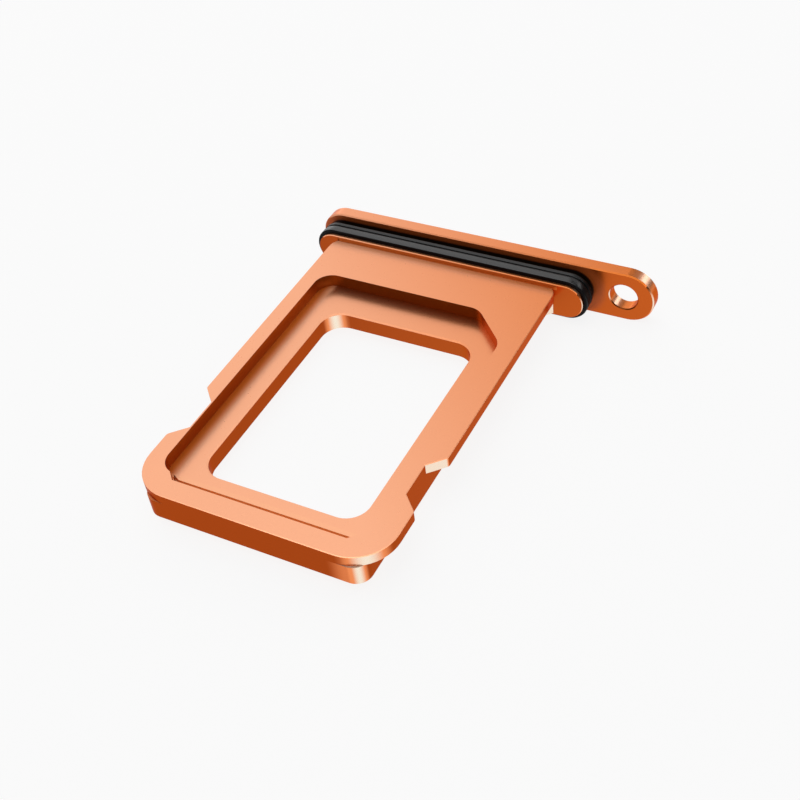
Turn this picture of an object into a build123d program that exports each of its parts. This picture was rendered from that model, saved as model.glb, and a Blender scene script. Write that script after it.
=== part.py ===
from build123d import *
import math
import os

# Card tray of a phone: a metal tray for one small card, with a rubber seal round its neck.
# Millimetres. X runs along the face plate, Y from the tip of the blade to the face plate, Z up.
# The origin is under the middle of the whole tray, at the level of the face plate's lower edge.

# The card that the pocket holds
card_length = 12.30
card_width = 8.80
card_corner_cut = 1.65

# Pocket: room round the card, depth, and the cutter's radii
pocket_room_along = 0.15
pocket_room_across = 0.24
cut_corner_room = 0.14
pocket_depth = 0.575
pocket_corner_radius = 0.75
cut_corner_radius = 0.85
pocket_offset = -0.07

# Window through the pocket's floor
window_length = 10.03
window_width = 6.88
window_corner_radius = 0.92
window_near_margin = 0.85
window_edge_chamfer = 0.06

# Relief in the near wall, and the groove at its foot that the card's edge drops into
relief_reach = 0.31
relief_length = 7.38
groove_step = 0.18
groove_overhang = 0.19
groove_tip_step = 0.34
groove_tip_overhang = 0.34
groove_depth = 0.20

# Blade: thin wings over a narrower body
blade_length = 15.84
blade_width = 10.60
blade_thickness = 1.33
wing_thickness = 0.443
body_width = 9.33
tip_radius = 1.69
body_tip_radius = 0.62
near_wall = 1.14
edge_break = 0.025

# Neck, where the blade meets the shoulder
neck_corner_length = 0.49
neck_corner_inset = 0.19
neck_flare = 0.45

# Catch notches in the wings, with ends at 45 degrees
notch_length = 1.49
notch_to_tip = 3.42
notch_corner_radius = 0.20

# Shoulder: a thin flange with round ends
shoulder_length = 12.56
shoulder_height = 1.60
shoulder_thickness = 0.15
shoulder_offset = 0.14
shoulder_chamfer = 0.03

# Seat of the seal, a core between the shoulder and the face plate
seat_width = 0.955
seat_depth = 0.34

# Face plate, with the eject hole near its right end
plate_length = 15.58
plate_height = 2.32
plate_thickness = 0.59
plate_edge_chamfer = 0.05
plate_offset = 1.29
eject_hole_diameter = 1.21
eject_hole_inset = 1.30
eject_hole_chamfer = 0.04

# Height of the blade's top face over the middle of the face plate
blade_rise = 0.583

# Rubber ring: a base on the seat, a wide near rib and a narrow far rib
seal_side_room = 0.01
seal_rise = 0.18
seal_base_depth = 0.16
near_rib_width = 0.37
near_rib_round = 0.05
rib_gap = 0.07
rib_gap_depth = 0.08
far_rib_width = 0.20
far_rib_drop = 0.01
far_rib_round = 0.04

# How closely a corner or an edge is matched when it is picked by its size or place
match = 0.001

# Levels
plate_middle_z = plate_height / 2
blade_top_z = plate_middle_z + blade_rise
pocket_floor_z = blade_top_z - pocket_depth

# Stations along Y
total_length = blade_length + shoulder_thickness + seat_width + plate_thickness
tip_y = -total_length / 2
shoulder_y = tip_y + blade_length
seat_y = shoulder_y + shoulder_thickness
plate_y = seat_y + seat_width
front_y = plate_y + plate_thickness

# Stations along X: the face plate is centred, and the blade is set off to its left
blade_x = -plate_offset
shoulder_x = blade_x + shoulder_offset
eject_hole_x = plate_length / 2 - eject_hole_inset

# Card pocket, from the card and its room
pocket_length = card_length + pocket_room_along
pocket_width = card_width + pocket_room_across
pocket_corner_cut = card_corner_cut + (pocket_room_along + pocket_room_across) / 2 - cut_corner_room * math.sqrt(2)

# Heights of the seal's steps over the seat
seal_top = seat_depth + seal_rise
seal_base = seat_depth - seal_base_depth

# The blade's own plane: its middle line, at the shoulder's front face, on the top face
blade_plane = Plane(origin=(blade_x, shoulder_y, blade_top_z))
pocket_near = near_wall - blade_length


def upright(y):
    """The upright plane across the tray at y, with its normal towards the blade's tip."""
    return Plane(origin=(0, y, 0), x_dir=(1, 0, 0), z_dir=(0, -1, 0))


def round_ended(length, height, middle_x):
    """A slot-shaped profile about the middle height of the face plate."""
    with Locations((middle_x, plate_middle_z)):
        SlotOverall(length, height)


# The pocket's own shape, as its cutter leaves it: round corners in plan, and a sharp foot
with BuildPart() as pocket_room:
    with BuildSketch(blade_plane) as pocket_plan:
        with Locations((pocket_offset, pocket_near + pocket_length / 2)):
            Rectangle(pocket_width, pocket_length)
        far_corners = pocket_plan.vertices().group_by(Axis.Y)[-1]
        chamfer(far_corners.sort_by(Axis.X)[-1], pocket_corner_cut)
        cut_ends = pocket_plan.vertices().sort_by(Axis((0, 0, 0), (1, 1, 0)))[-2:]
        fillet(cut_ends, cut_corner_radius)
        near_corners = pocket_plan.vertices().group_by(Axis.Y)[0]
        far_left_corner = pocket_plan.vertices().group_by(Axis.Y)[-1].sort_by(Axis.X)[0]
        fillet([*near_corners, far_left_corner], pocket_corner_radius)
    extrude(amount=-pocket_depth)

with BuildPart() as blade:
    # Wings: one half of the outline, drawn from the tip to the shoulder and mirrored
    side = blade_width / 2
    notch_floor = body_width / 2
    notch_slant = side - notch_floor
    notch_near = notch_to_tip - blade_length
    notch_far = notch_near + notch_length
    with BuildSketch(blade_plane) as wing_plan:
        with BuildLine():
            edge = Polyline(
                (0, -blade_length),
                (side, -blade_length),
                (side, notch_near - notch_slant),
                (notch_floor, notch_near),
                (notch_floor, notch_far),
                (side, notch_far + notch_slant),
                (side, -neck_corner_length),
            )
            neck = TangentArc(edge @ 1, (side - neck_corner_inset, 0), tangent=(0, 1))
            Line(neck @ 1, (0, 0))
            mirror(about=Plane.YZ)
        make_face()
        fillet(wing_plan.vertices().group_by(Axis.Y)[0], tip_radius)
        notch_mouths = wing_plan.vertices().filter_by(
            lambda v: abs(v.X) > side - match and abs(v.Y - notch_near - notch_length / 2) < notch_length
        )
        fillet(notch_mouths, notch_corner_radius)
    extrude(amount=-wing_thickness)
    wing_edges = blade.faces().sort_by(Axis.Z)[-1].edges().filter_by(lambda e: e.center().Y < shoulder_y)
    chamfer(wing_edges, edge_break)

    # Body under the wings: small round corners at the tip, and a flare at 45 degrees at the neck
    with BuildSketch(blade_plane.offset(-blade_thickness)) as body_plan:
        with BuildLine():
            Polyline(
                (0, -blade_length),
                (notch_floor, -blade_length),
                (notch_floor, -neck_flare),
                (notch_floor + neck_flare, 0),
                (0, 0),
            )
            mirror(about=Plane.YZ)
        make_face()
        fillet(body_plan.vertices().group_by(Axis.Y)[0], body_tip_radius)
    extrude(amount=blade_thickness - wing_thickness)
    body_edges = blade.faces().sort_by(Axis.Z)[0].edges().filter_by(lambda e: e.center().Y < shoulder_y)
    chamfer(body_edges, edge_break)

    # Pocket for the card
    add(pocket_room.part, mode=Mode.SUBTRACT)

    # Relief in the near wall, cut on below the floor as a groove that runs to a point at each end
    groove_end = relief_length / 2 + groove_overhang
    with BuildSketch(blade_plane) as relief_plan:
        with BuildLine():
            Polyline(
                (0, pocket_near - relief_reach),
                (relief_length / 2, pocket_near - relief_reach),
                (relief_length / 2 + relief_reach, pocket_near),
                (groove_end + groove_tip_overhang, pocket_near + groove_tip_step),
                (groove_end, pocket_near + groove_step),
                (0, pocket_near + groove_step),
            )
            mirror(about=Plane.YZ)
        make_face()
    extrude(amount=-(pocket_depth + groove_depth), mode=Mode.SUBTRACT)

    # Window through the floor, with its upper edge broken
    with BuildSketch(blade_plane) as window_plan:
        with Locations((0, pocket_near + window_near_margin + window_length / 2)):
            RectangleRounded(window_width, window_length, window_corner_radius)
    extrude(amount=-blade_thickness, mode=Mode.SUBTRACT)
    floor = blade.faces().filter_by(Axis.Z).sort_by(lambda f: abs(f.center().Z - pocket_floor_z))[0]
    chamfer(floor.inner_wires().edges(), window_edge_chamfer)

with BuildPart() as tray:
    # Face plate, with all its edges broken
    with BuildSketch(upright(front_y)) as plate_profile:
        round_ended(plate_length, plate_height, 0)
    extrude(amount=plate_thickness)
    chamfer(tray.faces().filter_by(Axis.Y).edges(), plate_edge_chamfer)

    # Eject hole right through it
    with BuildSketch(upright(front_y)) as hole_profile:
        with Locations((eject_hole_x, plate_middle_z)):
            Circle(eject_hole_diameter / 2)
    extrude(amount=plate_thickness, mode=Mode.SUBTRACT)
    hole_rims = tray.edges().filter_by(GeomType.CIRCLE).filter_by(
        lambda e: abs(e.radius - eject_hole_diameter / 2) < match
    )
    chamfer(hole_rims, eject_hole_chamfer)

    # Seat of the seal, and the shoulder in front of it
    with BuildSketch(upright(plate_y)) as seat_profile:
        round_ended(shoulder_length - 2 * seat_depth, shoulder_height - 2 * seat_depth, shoulder_x)
    extrude(amount=seat_width)
    with BuildSketch(upright(seat_y)) as shoulder_profile:
        round_ended(shoulder_length, shoulder_height, shoulder_x)
    extrude(amount=shoulder_thickness)
    chamfer(tray.edges().group_by(Axis.Y)[0], shoulder_chamfer)

    # Blade, in one piece with the shoulder
    add(blade.part)
tray.part.label = "tray"

# The seal's path round the seat: straight runs above and below, half circles at the ends
seat_radius = shoulder_height / 2 - seat_depth
seat_top_z = plate_middle_z + seat_radius
seat_bottom_z = plate_middle_z - seat_radius
run = (shoulder_length - shoulder_height) / 2
left_end_x = shoulder_x - run
right_end_x = shoulder_x + run
with BuildLine(upright(seat_y)) as seal_path:
    Line((shoulder_x, seat_top_z), (right_end_x, seat_top_z))
    CenterArc((right_end_x, plate_middle_z), seat_radius, 90, -180)
    Line((right_end_x, seat_bottom_z), (left_end_x, seat_bottom_z))
    CenterArc((left_end_x, plate_middle_z), seat_radius, -90, -180)
    Line((left_end_x, seat_top_z), (shoulder_x, seat_top_z))

with BuildPart() as seal_ring:
    # The seal's section, from the shoulder to the face plate: near rib, groove, far rib, base
    section_plane = Plane(origin=(shoulder_x, seat_y, seat_top_z), x_dir=(0, 1, 0), z_dir=(1, 0, 0))
    near_rib_end = seal_side_room + near_rib_width
    far_rib_start = near_rib_end + rib_gap
    far_rib_end = far_rib_start + far_rib_width
    base_end = seat_width - seal_side_room
    far_rib_top = seal_top - far_rib_drop
    with BuildSketch(section_plane) as seal_section:
        with BuildLine():
            Polyline(
                (seal_side_room, 0),
                (seal_side_room, seal_top),
                (near_rib_end, seal_top),
                (near_rib_end, seal_top - rib_gap_depth),
                (far_rib_start, seal_top - rib_gap_depth),
                (far_rib_start, far_rib_top),
                (far_rib_end, far_rib_top),
                (far_rib_end, seal_base),
                (base_end, seal_base),
                (base_end, 0),
                close=True,
            )
        make_face()
        near_rib_corners = seal_section.vertices().filter_by(lambda v: abs(v.Y - seal_top) < match)
        fillet(near_rib_corners, near_rib_round)
        far_rib_corners = seal_section.vertices().filter_by(
            lambda v: abs(v.Y - far_rib_top) < match and v.X > far_rib_start - match
        )
        fillet(far_rib_corners, far_rib_round)
    sweep(path=seal_path.wire())
seal_ring.part.label = "seal_ring"

os.makedirs("parts", exist_ok=True)
export_step(tray.part, "parts/tray.step")
export_step(seal_ring.part, "parts/seal_ring.step")
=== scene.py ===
# %% [markdown]
# # A phone's card tray in orange anodised metal
# The tray is one piece of milled aluminium: a long face plate, a shoulder behind it, and a flat blade with a
# pocket for the card. A black rubber ring sits on the seat between the shoulder and the face plate.
# The solid model gives every shape and size. This script gives the two pieces their finish, builds the ring anew
# with softer corners, and sets the camera, the floor and the light.

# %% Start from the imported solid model
import math

import bmesh
import bpy
from mathutils import Matrix, Vector


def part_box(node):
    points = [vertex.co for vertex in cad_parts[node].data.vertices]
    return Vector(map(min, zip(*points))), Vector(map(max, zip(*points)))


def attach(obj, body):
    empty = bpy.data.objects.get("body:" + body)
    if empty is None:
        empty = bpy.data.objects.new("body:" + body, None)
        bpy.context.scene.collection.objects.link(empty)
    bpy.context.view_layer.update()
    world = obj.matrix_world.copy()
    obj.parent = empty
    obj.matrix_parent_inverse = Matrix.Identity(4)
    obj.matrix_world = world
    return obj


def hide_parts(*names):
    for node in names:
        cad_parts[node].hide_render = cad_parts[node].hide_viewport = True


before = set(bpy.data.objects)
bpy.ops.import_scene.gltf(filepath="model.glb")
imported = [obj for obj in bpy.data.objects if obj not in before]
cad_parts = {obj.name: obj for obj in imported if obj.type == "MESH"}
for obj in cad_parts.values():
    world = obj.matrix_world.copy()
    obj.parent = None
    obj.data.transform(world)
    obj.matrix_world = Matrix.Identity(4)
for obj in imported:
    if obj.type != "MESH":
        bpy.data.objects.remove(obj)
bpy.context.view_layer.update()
MM = 0.001
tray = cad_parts["tray"]


def mm(*values):
    """Millimetres as metres."""
    return tuple(value * MM for value in values)


# %% [markdown]
# ## The camera
# The tray's own parallel edges give the viewpoint: their vanishing points fix the lens and the three turns, and the
# card that the pocket holds fixes the distance. A camera could be aimed at an empty, but three angles and a place
# say the same in four readable values, so the matrix is built from them.

# %% Camera
CAMERA_PLACE = Vector(mm(19.90, -30.2875, 34.043))
CAMERA_AZIMUTH = math.radians(33.02)
CAMERA_ELEVATION = math.radians(42.90)
CAMERA_ROLL = math.radians(-8.377)
CAMERA_LENS = 56.14
SENSOR_WIDTH = 36.0
CLIP_START = 1 * MM
CLIP_END = 100


def around(azimuth, elevation):
    """The unit vector towards a place seen at that azimuth, from -Y round to +X, and that height."""
    flat = math.cos(elevation)
    return Vector((math.sin(azimuth) * flat, -math.cos(azimuth) * flat, math.sin(elevation)))


def make_camera():
    backward = around(CAMERA_AZIMUTH, CAMERA_ELEVATION)
    level = Vector((math.cos(CAMERA_AZIMUTH), math.sin(CAMERA_AZIMUTH), 0))
    steep = backward.cross(level)
    right = level * math.cos(CAMERA_ROLL) + steep * math.sin(CAMERA_ROLL)
    up = backward.cross(right)
    data = bpy.data.cameras.new("camera")
    data.sensor_width = SENSOR_WIDTH
    data.lens = CAMERA_LENS
    data.clip_start = CLIP_START
    data.clip_end = CLIP_END
    camera = bpy.data.objects.new("camera", data)
    turned = Matrix((right, up, backward)).transposed().to_4x4()
    camera.matrix_world = Matrix.Translation(CAMERA_PLACE) @ turned
    bpy.context.scene.collection.objects.link(camera)
    bpy.context.scene.camera = camera


make_camera()
bpy.context.scene.view_settings.view_transform = "Standard"
print("camera stands", round(CAMERA_PLACE.length / MM, 1), "mm from the tray")

# %% [markdown]
# ## A small language for materials
# A material is a graph of nodes, and most of it is arithmetic. Written as Python expressions, that arithmetic reads
# like the idea behind it. `Value` wraps one socket and turns each operator into a Math node, and `Nodes.add` makes
# any other node from its type, its settings and its inputs. `Surface` answers what a finish asks of a point: where
# it lies on the tray, and which way it faces.

# %% Helpers: values
class Value:
    """One socket of a node tree that can be used in sums, products, differences and powers."""

    def __init__(self, nodes, socket):
        self.nodes = nodes
        self.socket = socket

    def combine(self, operation, first, second):
        return self.nodes.add("ShaderNodeMath", {"operation": operation}, {0: first, 1: second})

    def __add__(self, other):
        return self.combine("ADD", self, other)

    def __radd__(self, other):
        return self.combine("ADD", other, self)

    def __sub__(self, other):
        return self.combine("SUBTRACT", self, other)

    def __rsub__(self, other):
        return self.combine("SUBTRACT", other, self)

    def __mul__(self, other):
        return self.combine("MULTIPLY", self, other)

    def __rmul__(self, other):
        return self.combine("MULTIPLY", other, self)

    def __pow__(self, other):
        return self.combine("POWER", self, other)

    def __abs__(self):
        return self.nodes.add("ShaderNodeMath", {"operation": "ABSOLUTE"}, {0: self})

    def at_least(self, least):
        return self.combine("MAXIMUM", self, least)

    def at_most(self, most):
        return self.combine("MINIMUM", self, most)


# %% Helpers: nodes
MIX_FACTOR, MIX_FIRST, MIX_SECOND, MIX_RESULT = 0, 6, 7, 2
PLAIN_DETAIL = 2.0
FINE_DETAIL = 3.0


class Nodes:
    """One node tree: a material's, the world's, or one that makes a shape."""

    def __init__(self, tree):
        self.tree = tree
        self.tree.nodes.clear()

    def add(self, kind, settings=None, inputs=None, output=0):
        """Makes a node, sets it up, feeds its sockets and returns one of its outputs as a Value."""
        node = self.tree.nodes.new(kind)
        for name, setting in (settings or {}).items():
            setattr(node, name, setting)
        for name, given in (inputs or {}).items():
            if isinstance(given, Value):
                self.tree.links.new(given.socket, node.inputs[name])
            else:
                node.inputs[name].default_value = given
        return Value(self, node.outputs[output]) if len(node.outputs) else node

    def smooth(self, value, low, high):
        """0 below low, 1 above high, and an even slope with soft ends between them."""
        settings = {"interpolation_type": "SMOOTHSTEP"}
        return self.add("ShaderNodeMapRange", settings, {"Value": value, "From Min": low, "From Max": high})

    def slope(self, value, low, high):
        """0 below low, 1 above high, and a straight slope between them."""
        return self.add("ShaderNodeMapRange", {}, {"Value": value, "From Min": low, "From Max": high})

    def noise(self, place, size, detail=PLAIN_DETAIL):
        """Cloudy noise from 0 to 1 whose blotches are about as large as size, in metres."""
        return self.add("ShaderNodeTexNoise", {}, {"Vector": place, "Scale": 1 / size, "Detail": detail})

    def mix_colour(self, factor, first, second):
        """A blend of two colours."""
        inputs = {MIX_FACTOR: factor, MIX_FIRST: first, MIX_SECOND: second}
        return self.add("ShaderNodeMix", {"data_type": "RGBA"}, inputs, MIX_RESULT)

    def finish(self, shader, kind="ShaderNodeOutputMaterial"):
        """Links the finished shader to the tree's output."""
        self.add(kind, {}, {"Surface": shader})


def shader_nodes(owner):
    """The emptied node tree of a material or a world."""
    owner.use_nodes = True
    return Nodes(owner.node_tree)


# %% Helpers: a point of a surface
SEAT_MIDDLE = Vector(mm(-1.15, 7.2225, 1.16))
SEAT_RUN = 5.48 * MM
SOFT_EDGE = 0.01 * MM


def axes_of(nodes, vector):
    """The three numbers of a vector, one by one."""
    split = nodes.add("ShaderNodeSeparateXYZ", {}, {0: vector}).socket.node
    return [Value(nodes, output) for output in split.outputs]


class Surface:
    """Where a point lies on the tray and which way it faces."""

    def __init__(self, nodes):
        self.nodes = nodes
        self.place = nodes.add("ShaderNodeTexCoord", output="Object")
        self.normal = nodes.add("ShaderNodeTexCoord", output="Normal")
        self.x, self.y, self.z = axes_of(nodes, self.place)
        self.rise = axes_of(nodes, self.normal)[2]

    def inside(self, box):
        """A mask that is 1 inside a box, given by its low and its high corner, and 0 outside it."""
        mask = 1
        for axis, low, high in zip((self.x, self.y, self.z), *box):
            mask = mask * self.nodes.smooth(axis, low - SOFT_EDGE, low)
            mask = mask * self.nodes.smooth(axis, high + SOFT_EDGE, high)
        return mask

    def facing(self, direction):
        """1 where a face looks straight in that direction, 0 where it looks square to it."""
        inputs = {0: self.normal, 1: direction}
        return self.nodes.add("ShaderNodeVectorMath", {"operation": "DOT_PRODUCT"}, inputs, "Value")

    def from_seat(self):
        """How far a point is from the seat's middle line. The shoulder and the seal are rings round that line."""
        beyond = (abs(self.x - SEAT_MIDDLE.x) - SEAT_RUN).at_least(0.0)
        above = self.z - SEAT_MIDDLE.z
        return (beyond * beyond + above * above) ** 0.5


# %% [markdown]
# ## The table
# The tray lies on a plain white table top. In such a studio the table is lit until it is as white as the paper of the
# picture. Here it is a matt diffuser that catches the tray's shadow, and a share of plain white is mixed in for the
# rays that come from the camera or from a mirror: the metal then shows a white table as well, and no lamp has to be
# turned up for it.

# %% Table
TABLE_SIDE = 4.0
TABLE_COLOUR = (0.90, 0.90, 0.90, 1)
WHITE_SHARE = 0.88
SEEN_BY = ("Is Camera Ray", "Is Glossy Ray", "Is Transmission Ray")


def make_table():
    mesh = bpy.data.meshes.new("table_top")
    shape = bmesh.new()
    bmesh.ops.create_grid(shape, x_segments=1, y_segments=1, size=TABLE_SIDE / 2)
    shape.to_mesh(mesh)
    shape.free()
    table = bpy.data.objects.new("table_top", mesh)
    bpy.context.scene.collection.objects.link(table)
    material = bpy.data.materials.new("white_table")
    nodes = shader_nodes(material)
    seen = sum(nodes.add("ShaderNodeLightPath", output=ray) for ray in SEEN_BY)
    matt = nodes.add("ShaderNodeBsdfDiffuse", {}, {"Color": TABLE_COLOUR})
    white = nodes.add("ShaderNodeEmission", {}, {"Color": (1, 1, 1, 1), "Strength": 1.0})
    nodes.finish(nodes.add("ShaderNodeMixShader", {}, {0: WHITE_SHARE * seen, 1: matt, 2: white}))
    mesh.materials.append(material)
    print("the table is", TABLE_SIDE, "m wide")


make_table()

# %% [markdown]
# ## Lamps
# Flat metal shows what stands opposite it, so each lamp is placed for the face that mirrors it. One broad soft panel
# stands high at the back left, where the flat top faces look; it ends towards the right, so they dim a little there.
# A long low one under it fills the gap down to the table, which the plate's rounded left end mirrors. A small bright
# one at the back right draws thin light lines on the edges that turn to the right, and a faint one between the two
# fills the gap that the tops of the right ends mirror as they begin to turn. One overhead lights the table. It is
# wide rather than bright, because the flat faces mirror it when the tray is seen from above. The room itself is dim,
# so the flat faces look dark from the back and the left, where no lamp stands opposite them.

# %% Lamps and room
LAMP_DISTANCE = 0.30
# name, azimuth and elevation in degrees, width and height in metres, brightness
PANELS = (
    ("back_panel", 235, 40, 0.40, 0.38, 0.92),
    ("back_fill", 172, 30, 0.14, 0.14, 0.45),
    ("right_panel", 141, 26, 0.13, 0.10, 1.9),
    ("low_panel", 232, 7, 0.30, 0.06, 0.9),
    ("table_lamp", 30, 86, 0.30, 0.30, 1.56),
)
ROOM_BRIGHTNESS = 0.07


def soft_panel(name, azimuth, elevation, width, height, brightness):
    """A flat lamp that faces the tray. A mirror in its place shows it at that brightness, 1 being white."""
    data = bpy.data.lights.new(name, "AREA")
    data.shape = "RECTANGLE"
    data.size = width
    data.size_y = height
    data.energy = brightness * math.pi * width * height
    lamp = bpy.data.objects.new(name, data)
    towards = around(math.radians(azimuth), math.radians(elevation))
    lamp.location = towards * LAMP_DISTANCE
    lamp.rotation_mode = "QUATERNION"
    lamp.rotation_quaternion = towards.to_track_quat("Z", "Y")
    bpy.context.scene.collection.objects.link(lamp)
    print(name, "stands", azimuth, "degrees round,", elevation, "up")


def make_room(brightness):
    world = bpy.data.worlds.new("room")
    bpy.context.scene.world = world
    nodes = shader_nodes(world)
    light = nodes.add("ShaderNodeBackground", {}, {"Color": (1, 1, 1, 1), "Strength": brightness})
    nodes.finish(light, "ShaderNodeOutputWorld")


for panel in PANELS:
    soft_panel(*panel)
make_room(ROOM_BRIGHTNESS)

# %% [markdown]
# ## Anodised metal
# Anodising grows a clear, hard layer on aluminium and dyes it, so it is a metal under a thin glassy coat. The flat
# faces look pale and silky, as bead-blasted metal does. The milled walls look deeper, and the flats get deeper
# towards the plate. Part of this is finish and part is light, and the dyes carry both. The flats' dye holds a painted
# sheen and the walls' dye a painted shade. The change towards the plate, where the flats deepen and the walls
# lighten, is painted light.
# They are told apart by which way a face points, so no seam has to be drawn: a Map Range node with soft ends turns a
# direction into a mask, and masks blend the dyes.

# %% Dyes, and colours that are painted light and shade
# The flats' and walls' dyes are partly finish and partly painted light: a painted sheen on the flats, a painted shade
# on the walls. The far ones add a painted change of light towards the plate.
FLAT_DYE_WITH_PAINTED_SHEEN = (0.95, 0.435, 0.245, 1)
FAR_FLAT_DYE_WITH_PAINTED_DIMMING = (0.79, 0.19, 0.022, 1)
WALL_DYE_WITH_PAINTED_SHADE = (0.40, 0.066, 0.010, 1)
FAR_WALL_DYE_WITH_PAINTED_LIGHT = (0.62, 0.118, 0.016, 1)
# The colours below, down to the cream highlight, are painted light and shade, not finish.
PAINTED_LIGHT_ON_POCKET_WALLS = (0.50, 0.16, 0.026, 1)
PAINTED_SHADE_AT_FOOT = (0.66, 0.14, 0.018, 1)
PAINTED_LIGHT_OVER_FOOT = (0.62, 0.28, 0.07, 1)
PAINTED_SHADE_BEHIND_SEAL = (0.72, 0.14, 0.024, 1)
PAINTED_SHADOW_BY_SEAL = (0.02, 0.01, 0.005, 1)
PAINTED_HIGHLIGHT_BY_NECK = (1.0, 0.55, 0.30, 1)
PAINTED_LIGHT_AT_GROOVE_TIP = (0.80, 0.22, 0.06, 1)
PAINTED_LIGHT_ON_STEP = (0.75, 0.33, 0.10, 1)
PAINTED_LIGHT_IN_GROOVE = (1.0, 0.58, 0.28, 1)
PAINTED_ORANGE_HIGHLIGHT = (0.97, 0.31, 0.11, 1)
PAINTED_CREAM_HIGHLIGHT = (1.0, 0.87, 0.70, 1)
GLANCING_TINT = (0.95, 0.53, 0.45, 1)

# %% [markdown]
# ## Places that stand for light
# The real tray has no finish for the places below. What changes there is the light: some comes from below, and
# corners shade each other. A tray on a table gets no light from below, so here a paler dye stands for it on the walls
# and the rounded corners that face the front right. In the same way, other dyes stand for the shade and the glow in
# corners: behind the seal, beside the shoulder, along the foot of the pocket and in the groove. More lamps could do
# some of this, but each lamp shows in every other face as well. The price is that these patches stay as they are
# under any other light.
# Each place is a box in the tray's own millimetres, given by its low and its high corner, and each fade is a pair:
# where a mask is 0, and where it is 1.

# %% Boxes on the tray
POCKET = (mm(-5.90, -7.65, 1.17), mm(3.20, 4.90, 1.80))
POCKET_FLOOR = (mm(-5.90, -7.40, 1.15), mm(3.30, 5.00, 1.18))
GROOVE = (mm(-5.90, -7.95, 0.90), mm(3.30, -7.25, 1.16))
GROOVE_TIP = (mm(-5.95, -8.00, 0.90), mm(-5.40, -7.40, 1.70))
WINDOW_EDGE = (mm(-5.00, -7.10, 1.09), mm(2.40, 3.60, 1.165))
BLADE_TOP = (mm(-8.00, -8.80, 1.25), mm(6.00, 7.20, 2.00))
TIP_LEDGES = (mm(-6.80, -8.80, 1.29), mm(3.40, -8.00, 1.31))
TIP_CORNER = (mm(1.80, -8.80, 0.30), mm(3.40, -8.70, 1.29))
TOP_BY_SHOULDER = (mm(-6.60, 6.30, 1.70), mm(4.20, 7.06, 1.76))
SHOULDER_RIM = (mm(-8.00, 7.04, 1.30), mm(6.00, 7.24, 2.00))
SHOULDER_STEP = (mm(-6.70, 7.05, 1.70), mm(4.00, 7.09, 1.92))
NECK_SIDE = (mm(3.60, 5.90, 1.31), mm(4.20, 7.06, 1.71))
PLATE_BACK = (mm(-8.80, 8.16, -0.10), mm(7.00, 8.24, 2.40))
PLATE_EDGE = (mm(-8.80, 8.165, 1.90), mm(7.80, 8.24, 2.35))

# %% Flat faces and broken edges
FLAT_RISE = (0.55, 0.95)
BEVEL_RISE_FROM_WALL = (0.45, 0.60)
BEVEL_RISE_FROM_FLAT = (0.90, 0.80)


def mark_flats(nodes, at):
    """Faces that look up or down, and the narrow broken edges between them and the walls."""
    rise = abs(at.rise)
    edges = sum(at.inside(box) for box in (PLATE_EDGE, BLADE_TOP, SHOULDER_RIM, WINDOW_EDGE))
    sloped = nodes.smooth(rise, *BEVEL_RISE_FROM_WALL) * nodes.smooth(rise, *BEVEL_RISE_FROM_FLAT)
    return {"flat": nodes.smooth(rise, *FLAT_RISE), "bevel": sloped * edges.at_most(1.0)}


# %% The plate's inner face, the shoulder and the neck
CLOSE_TO_SEAL = mm(1.55, 1.10)
PLATE_LEFT_END = mm(-6.4, -7.0)
SEAL_SHADE = mm(0.93, 0.82)
NEAR_SHOULDER = mm(6.45, 6.95)
STEP_START = mm(-6.40, -6.28)
NECK_START = mm(6.0, 6.4)


def mark_neck(nodes, at, flat):
    """Painted shade and a painted shadow behind the seal, painted light on the shoulder's step and a painted
    highlight on the neck's side. The flat by the shoulder is only made less metallic.
    """
    from_line = at.from_seat()
    plate_back = at.inside(PLATE_BACK) * (1 - flat)
    close = nodes.smooth(from_line, *CLOSE_TO_SEAL) + nodes.smooth(at.x, *PLATE_LEFT_END)
    return {
        # Painted shade on the plate's inner face near the seal, and a painted black shadow right behind the seal.
        "behind_seal": plate_back * close.at_most(1.0),
        "shade": plate_back * nodes.smooth(from_line, *SEAL_SHADE),
        "by_shoulder": flat * at.inside(TOP_BY_SHOULDER) * nodes.smooth(at.y, *NEAR_SHOULDER),
        # Painted light on the shoulder's small step.
        "step": at.inside(SHOULDER_STEP) * nodes.smooth(at.x, *STEP_START),
        # A painted highlight on the neck's side.
        "by_neck": at.inside(NECK_SIDE) * nodes.smooth(at.y, *NECK_START) * (1 - flat),
    }


# %% The pocket and its groove
BY_LEFT_WALL = mm(-5.15, -5.45)
FOOT_LEFT = mm(-5.30, -5.75)
FOOT_FAR = mm(4.40, 4.85)
FAR_FOOT_SHARE = 0.3
WALL_FOOT = mm(1.55, 1.18)
LEFT_WALL = mm(-5.3, -5.7)


def mark_pocket(nodes, at, flat):
    """The pocket's walls, the foot of its floor and the fine groove at its near end, where painted light and shade
    go.
    """
    floor = flat * at.inside(POCKET_FLOOR)
    foot = nodes.smooth(at.x, *FOOT_LEFT) + FAR_FOOT_SHARE * nodes.smooth(at.y, *FOOT_FAR)
    return {
        "in_pocket": at.inside(POCKET),
        "by_wall": floor * nodes.smooth(at.x, *BY_LEFT_WALL),
        # Painted shade on the pocket's floor along the foot of the left wall, and less along the far wall.
        "at_foot": floor * foot.at_most(1.0),
        # Painted light on the lower part of the pocket's left wall.
        "over_foot": nodes.smooth(at.z, *WALL_FOOT) * nodes.smooth(at.x, *LEFT_WALL),
        # The groove and its tip are painted lighter, standing for light that does not reach into them.
        "groove": at.inside(GROOVE),
        "groove_tip": at.inside(GROOVE_TIP),
    }


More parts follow.
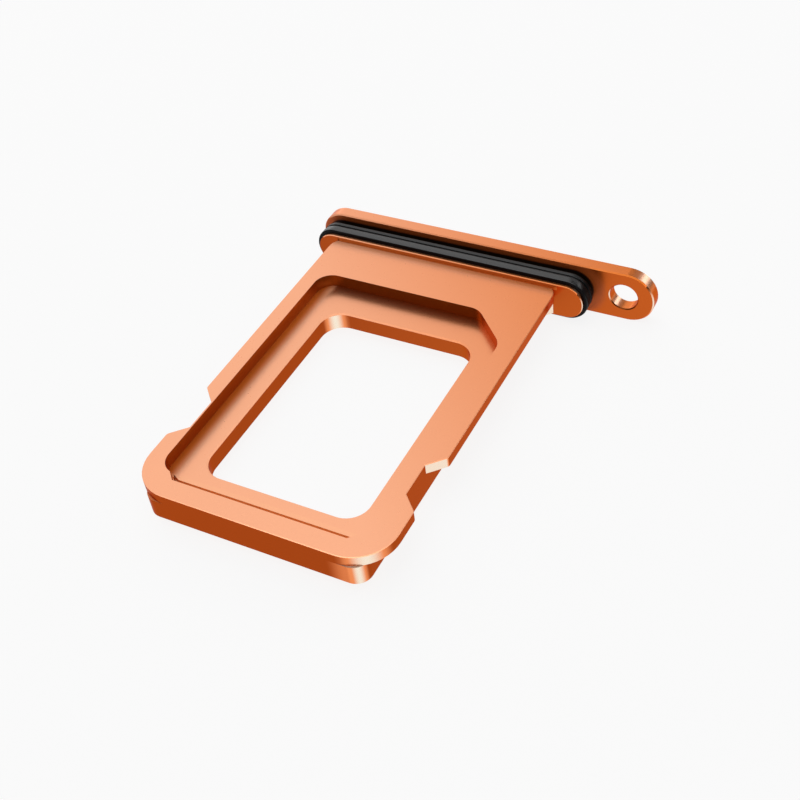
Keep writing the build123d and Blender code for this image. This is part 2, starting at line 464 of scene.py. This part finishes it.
# %% Faces with painted highlights, standing for light from below
SIDE_SHINE = around(math.radians(39.5), 0)
UPPER_SHINE = around(math.radians(90), math.radians(53))
SIDE_TURN = (0.80, 0.95)
BRIGHT_SIDE_TURN = (0.925, 1.0)
BRIGHT_SIDE_POWER = 1.5
UPPER_TURN = (0.85, 0.965)
BRIGHT_UPPER_TURN = (0.955, 1.0)
BRIGHT_UPPER_SHARE = 0.55
BEYOND_SHOULDER = mm(7.0, 7.1)
TIP_CORNER_START = mm(1.9, 2.7)
TIP_CORNER_SHARE = 0.7
BRIGHT_LEDGE_START = mm(1.9, 2.8)
BRIGHT_LEDGE_SHARE = 0.6


def mark_shine(nodes, at, flat, outside):
    """Where painted highlights go: walls and corners that face the front right and, beyond the shoulder, edges that
    turn up to the right.
    """
    to_side = at.facing(SIDE_SHINE)
    to_upper_side = at.facing(UPPER_SHINE) * nodes.smooth(at.y, *BEYOND_SHOULDER)
    # The tip's corner and the ledges under its wing get painted highlights too.
    tip_corner = at.inside(TIP_CORNER) * nodes.smooth(at.x, *TIP_CORNER_START)
    tip_ledges = flat * at.inside(TIP_LEDGES)
    side = nodes.smooth(to_side, *SIDE_TURN) + TIP_CORNER_SHARE * tip_corner + tip_ledges
    bright_side = outside * nodes.slope(to_side, *BRIGHT_SIDE_TURN) ** BRIGHT_SIDE_POWER
    bright_side = bright_side + BRIGHT_LEDGE_SHARE * tip_ledges * nodes.smooth(at.x, *BRIGHT_LEDGE_START)
    bright_upper = BRIGHT_UPPER_SHARE * nodes.slope(to_upper_side, *BRIGHT_UPPER_TURN)
    return {
        "tip_ledges": tip_ledges,
        "shine": outside * side.at_most(1.0),
        "upper_shine": nodes.smooth(to_upper_side, *UPPER_TURN),
        "bright_side": bright_side,
        "bright": (bright_side + bright_upper).at_most(1.0),
    }


# %% Blend the dyes
# The change along this line is painted light: towards the plate the flats' sheen dims and the walls lighten.
PAINTED_LIGHT_FALLOFF_ALONG_X = 1.25
PAINTED_LIGHT_FALLOFF_RUN = mm(-4, 18)


def blend_dyes(nodes, at, mask):
    """The colour of the metal: its dyes, with painted light and shade laid over them. Later masks lie over earlier
    ones.
    """
    # far: painted light that changes towards the plate.
    far = nodes.slope(PAINTED_LIGHT_FALLOFF_ALONG_X * at.x + at.y, *PAINTED_LIGHT_FALLOFF_RUN)
    flats = nodes.mix_colour(far, FLAT_DYE_WITH_PAINTED_SHEEN, FAR_FLAT_DYE_WITH_PAINTED_DIMMING)
    walls = nodes.mix_colour(far, WALL_DYE_WITH_PAINTED_SHADE, FAR_WALL_DYE_WITH_PAINTED_LIGHT)
    # The pocket's walls are painted light: a tone of their own, paler than the outer walls, and paler still over the
    # foot of the left wall.
    pocket_walls = nodes.mix_colour(mask["over_foot"], PAINTED_LIGHT_ON_POCKET_WALLS, PAINTED_LIGHT_OVER_FOOT)
    walls = nodes.mix_colour(mask["in_pocket"], walls, pocket_walls)
    colour = nodes.mix_colour(mask["flat"], walls, flats)
    # Painted shade, painted light and painted highlights lie over the dyes here; the broken edges take the flats'
    # colour.
    for name, dye in (
        ("behind_seal", PAINTED_SHADE_BEHIND_SEAL),
        ("shade", PAINTED_SHADOW_BY_SEAL),
        ("step", PAINTED_LIGHT_ON_STEP),
        ("by_neck", PAINTED_HIGHLIGHT_BY_NECK),
        ("at_foot", PAINTED_SHADE_AT_FOOT),
        ("shine", PAINTED_ORANGE_HIGHLIGHT),
        ("upper_shine", PAINTED_ORANGE_HIGHLIGHT),
        ("groove", PAINTED_LIGHT_IN_GROOVE),
        ("groove_tip", PAINTED_LIGHT_AT_GROOVE_TIP),
        ("bevel", flats),
        ("bright", PAINTED_CREAM_HIGHLIGHT),
    ):
        colour = nodes.mix_colour(mask[name], colour, dye)
    return colour


# %% [markdown]
# ## The metal's shine
# Blasting leaves a fine grain. Here it is about a tenth of a millimetre, given by a faint bump and some roughness.
# The edges are broken by a few hundredths of a millimetre only, and such a narrow band would mirror the dark room.
# Its normals are bent upward, so that it looks like the flat face beside it. In some corners the metal would mirror
# that room twice and turn black, so there it is made less metallic and catches light as paint does.

# %% Anodised metal
GRAIN_SIZE = 0.09 * MM
CLOUD_SIZE = 2.5 * MM
LEAST_VALUE = 0.985
CLOUD_VALUE = 0.03
ROUGHNESS = 0.32
ROUGHER = {"flat": -0.04, "groove": 0.30, "behind_seal": 0.15, "bright_side": -0.10}
GRAIN_ROUGHNESS = 0.03
BEVEL_LIFT = 3.0
GRAIN_BUMP = 0.25
GRAIN_DEPTH = 0.0007 * MM
LESS_METALLIC = {"tip_ledges": 0.9, "behind_seal": 0.7, "by_shoulder": 0.8, "by_wall": 0.85, "groove_tip": 0.8}
COAT_ON_WALLS = 0.03
MORE_COAT_ON_FLATS = 0.35
COAT_ROUGHNESS = 0.15
COAT_IOR = 1.5


def weigh(mask, shares):
    """The sum of some masks, each times its share."""
    return sum(share * mask[name] for name, share in shares.items())


def grainy_normal(nodes, at, grain, bevel):
    """The normal with the broken edges bent upward and the grains on it."""
    lift = nodes.add("ShaderNodeCombineXYZ", {}, {"Z": BEVEL_LIFT * bevel})
    bent = nodes.add("ShaderNodeVectorMath", {"operation": "ADD"}, {0: at.normal, 1: lift})
    bent = nodes.add("ShaderNodeVectorMath", {"operation": "NORMALIZE"}, {0: bent})
    inputs = {"Strength": GRAIN_BUMP, "Distance": GRAIN_DEPTH, "Height": grain, "Normal": bent}
    return nodes.add("ShaderNodeBump", {}, inputs)


def make_anodised():
    material = bpy.data.materials.new("orange_anodised")
    nodes = shader_nodes(material)
    at = Surface(nodes)
    mask = mark_flats(nodes, at)
    mask.update(mark_neck(nodes, at, mask["flat"]))
    mask.update(mark_pocket(nodes, at, mask["flat"]))
    mask.update(mark_shine(nodes, at, mask["flat"], 1 - mask["in_pocket"]))
    grain = nodes.noise(at.place, GRAIN_SIZE, FINE_DETAIL)
    value = LEAST_VALUE + CLOUD_VALUE * nodes.noise(at.place, CLOUD_SIZE)
    colour = blend_dyes(nodes, at, mask)
    inputs = {
        "Base Color": nodes.add("ShaderNodeHueSaturation", {}, {"Value": value, "Color": colour}),
        "Metallic": 1.0 - weigh(mask, LESS_METALLIC).at_most(1.0),
        "Roughness": ROUGHNESS + weigh(mask, ROUGHER) + GRAIN_ROUGHNESS * (grain - 0.5),
        "Specular Tint": GLANCING_TINT,
        "Normal": grainy_normal(nodes, at, grain, mask["bevel"]),
        "Coat Weight": COAT_ON_WALLS + MORE_COAT_ON_FLATS * mask["flat"],
        "Coat Roughness": COAT_ROUGHNESS,
        "Coat IOR": COAT_IOR,
    }
    nodes.finish(nodes.add("ShaderNodeBsdfPrincipled", {}, inputs))
    print("the metal has", len(mask), "masks")
    return material


tray.data.materials[0] = make_anodised()
print("the tray has", len(tray.data.polygons), "triangles")

# %% [markdown]
# ## Seal rubber
# The ring is moulded silicone rubber. It is nearly black, and what shows of it is its gloss: the tops of its ribs
# mirror the lamps softly, and its sides stay black. A plain gloss would grey the sides as well, so the rubber itself
# is dull, and a glossy coat lies only where a face looks up or round the front right corner, thinner on the far rib.
# The mould leaves a very fine skin, which a bump on small noise gives.

# %% Seal rubber
RUBBER = (0.007, 0.007, 0.0075, 1)
RUBBER_PALE = (0.012, 0.012, 0.0125, 1)
SKIN_SIZE = 0.05 * MM
SKIN_BUMP = 0.3
SKIN_DEPTH = 0.001 * MM
RUBBER_CLOUD_SIZE = 0.8 * MM
RUBBER_ROUGHNESS = 0.5
RUBBER_SPECULAR = 0.1
RIB_TOP_RISE = (0.60, 0.95)
RIB_CORNER_TURN = (0.93, 0.995)
RIB_CORNER_SHARE = 0.6
FAR_RIB_START = mm(7.62, 7.66)
RIB_COAT = 0.88
LESS_ON_FAR_RIB = 0.35
RIB_COAT_IOR = 1.66
RIB_COAT_ROUGHNESS = 0.26


def make_rubber():
    material = bpy.data.materials.new("black_rubber")
    nodes = shader_nodes(material)
    at = Surface(nodes)
    skin = nodes.noise(at.place, SKIN_SIZE, FINE_DETAIL)
    cloud = nodes.noise(at.place, RUBBER_CLOUD_SIZE)
    upward = nodes.smooth(at.rise, *RIB_TOP_RISE)
    corner = nodes.smooth(at.facing(SIDE_SHINE), *RIB_CORNER_TURN)
    coat = RIB_COAT - LESS_ON_FAR_RIB * nodes.smooth(at.y, *FAR_RIB_START)
    bump = {"Strength": SKIN_BUMP, "Distance": SKIN_DEPTH, "Height": skin}
    inputs = {
        "Base Color": nodes.mix_colour(cloud, RUBBER, RUBBER_PALE),
        "Roughness": RUBBER_ROUGHNESS,
        "Specular IOR Level": RUBBER_SPECULAR,
        "Coat Weight": coat * (upward + RIB_CORNER_SHARE * corner).at_most(1.0),
        "Coat IOR": RIB_COAT_IOR,
        "Coat Roughness": RIB_COAT_ROUGHNESS,
        "Normal": nodes.add("ShaderNodeBump", {}, bump),
    }
    nodes.finish(nodes.add("ShaderNodeBsdfPrincipled", {}, inputs))
    return material


rubber = make_rubber()
print("rubber:", rubber.name)

# %% [markdown]
# ## The ribbed seal
# The ring is one section carried round a closed path, as the mould's own tool would cut it: a base on the seat, a
# broad rib beside the shoulder, a fine groove and a narrow rib. It could be modelled face by face, but a path and a
# section say it in a few sizes. The section is drawn flat as a loop of corners, each with its own rounding. Geometry
# Nodes round the corners, draw the path as a rectangle whose corners are rounded until its ends are half circles,
# and carry the section round it.

# %% The seal's section
SEAT_RADIUS = 0.46 * MM
BASE_HEIGHT = 0.18 * MM
RIB_HEIGHT = 0.50 * MM
FAR_RIB_HEIGHT = 0.49 * MM
GROOVE_FLOOR = 0.44 * MM
NEAR_RIB = (0.01 * MM, 0.38 * MM)
FAR_RIB = (0.45 * MM, 0.65 * MM)
BASE_END = 0.945 * MM
ARC_STEPS = 24
CORNER_STEPS = 5
JUST_UNDER = 0.9995
DOUBLES_WITHIN = 0.0005 * MM
SHARP_FROM = math.radians(40)
# way from the shoulder to the plate, height over the seat, rounding
SECTION = (
    (NEAR_RIB[0], 0.0, 0.0),
    (NEAR_RIB[0], RIB_HEIGHT, 0.05 * MM),
    (NEAR_RIB[1], RIB_HEIGHT, 0.05 * MM),
    (NEAR_RIB[1], GROOVE_FLOOR, 0.01 * MM),
    (FAR_RIB[0], GROOVE_FLOOR, 0.01 * MM),
    (FAR_RIB[0], FAR_RIB_HEIGHT, 0.04 * MM),
    (FAR_RIB[1], FAR_RIB_HEIGHT, 0.04 * MM),
    (FAR_RIB[1], BASE_HEIGHT, 0.02 * MM),
    (BASE_END, BASE_HEIGHT, 0.03 * MM),
    (BASE_END, 0.0, 0.0),
)


def draw_section():
    """A closed loop of edges in the flat, whose X is the height over the seat and whose Y is the way to the plate."""
    mesh = bpy.data.meshes.new("seal_section")
    corners = [(height, way, 0) for way, height, rounding in SECTION]
    mesh.from_pydata(corners, [(i, (i + 1) % len(corners)) for i in range(len(corners))], [])
    rounding = mesh.attributes.new("rounding", "FLOAT", "POINT")
    rounding.data.foreach_set("value", [corner[2] for corner in SECTION])
    section = bpy.data.objects.new("ribbed_seal", mesh)
    bpy.context.scene.collection.objects.link(section)
    print("the section has", len(corners), "corners")
    return section


# %% The nodes that carry the section round the seat
def make_sweep_nodes():
    tree = bpy.data.node_groups.new("section_round_a_seat", "GeometryNodeTree")
    nodes = Nodes(tree)
    tree.interface.new_socket("Geometry", in_out="INPUT", socket_type="NodeSocketGeometry")
    for name, kind in (("Run", "Float"), ("Seat Radius", "Float"), ("Arc Steps", "Int"), ("Corner Steps", "Int"),
                       ("Material", "Material")):
        tree.interface.new_socket(name, in_out="INPUT", socket_type="NodeSocket" + kind)
    tree.interface.new_socket("Geometry", in_out="OUTPUT", socket_type="NodeSocketGeometry")
    given = {name: nodes.add("NodeGroupInput", output=name)
             for name in ("Geometry", "Run", "Seat Radius", "Arc Steps", "Corner Steps", "Material")}

    rounding = nodes.add("GeometryNodeInputNamedAttribute", {"data_type": "FLOAT"}, {"Name": "rounding"})
    outline = nodes.add("GeometryNodeMeshToCurve", {}, {"Mesh": given["Geometry"]})
    section = nodes.add("GeometryNodeFilletCurve", {"mode": "POLY"},
                        {"Curve": outline, "Count": given["Corner Steps"], "Radius": rounding})
    length = 2 * given["Run"] + 2 * given["Seat Radius"]
    frame_of_path = nodes.add("GeometryNodeCurvePrimitiveQuadrilateral", {"mode": "RECTANGLE"},
                              {"Width": length, "Height": 2 * given["Seat Radius"]})
    path = nodes.add("GeometryNodeFilletCurve", {"mode": "POLY"},
                     {"Curve": frame_of_path, "Count": given["Arc Steps"],
                      "Radius": JUST_UNDER * given["Seat Radius"]})
    path = nodes.add("GeometryNodeSetCurveNormal", {"mode": "Z_UP"}, {"Curve": path})
    ring = nodes.add("GeometryNodeCurveToMesh", {}, {"Curve": path, "Profile Curve": section})
    ring = nodes.add("GeometryNodeMergeByDistance", {}, {"Geometry": ring, "Distance": DOUBLES_WITHIN})
    ring = nodes.add("GeometryNodeRealizeInstances", {}, {"Geometry": ring})
    ring = nodes.add("GeometryNodeSetMaterial", {}, {"Geometry": ring, "Material": given["Material"]})
    nodes.add("NodeGroupOutput", {}, {"Geometry": ring})
    return tree


# %% The ribbed seal
def give(modifier, values):
    """Sets a modifier's inputs, each by its socket's own identifier."""
    for item in modifier.node_group.interface.items_tree:
        if item.name in values and item.in_out == "INPUT":
            modifier[item.identifier] = values[item.name]


def make_seal():
    seal = draw_section()
    modifier = seal.modifiers.new("sweep", "NODES")
    modifier.node_group = make_sweep_nodes()
    give(modifier, {"Run": SEAT_RUN, "Seat Radius": SEAT_RADIUS, "Arc Steps": ARC_STEPS,
                    "Corner Steps": CORNER_STEPS, "Material": rubber})
    evaluated = seal.evaluated_get(bpy.context.evaluated_depsgraph_get())
    mesh = bpy.data.meshes.new_from_object(evaluated)
    seal.modifiers.remove(modifier)
    mesh.transform(Matrix.Translation(SEAT_MIDDLE) @ Matrix.Rotation(math.radians(90), 4, "X"))
    mesh.shade_smooth()
    mesh.set_sharp_from_angle(angle=SHARP_FROM)
    seal.data = mesh
    return seal


seal = make_seal()
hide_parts("seal_ring")
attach(seal, "root")
ends = [[pick(v.co[i] for v in seal.data.vertices) for i in range(3)] for pick in (min, max)]
for name, corners in (("solid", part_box("seal_ring")), ("ribbed", ends)):
    print(name, "seal in mm:", [[round(v / MM, 3) for v in corner] for corner in corners])
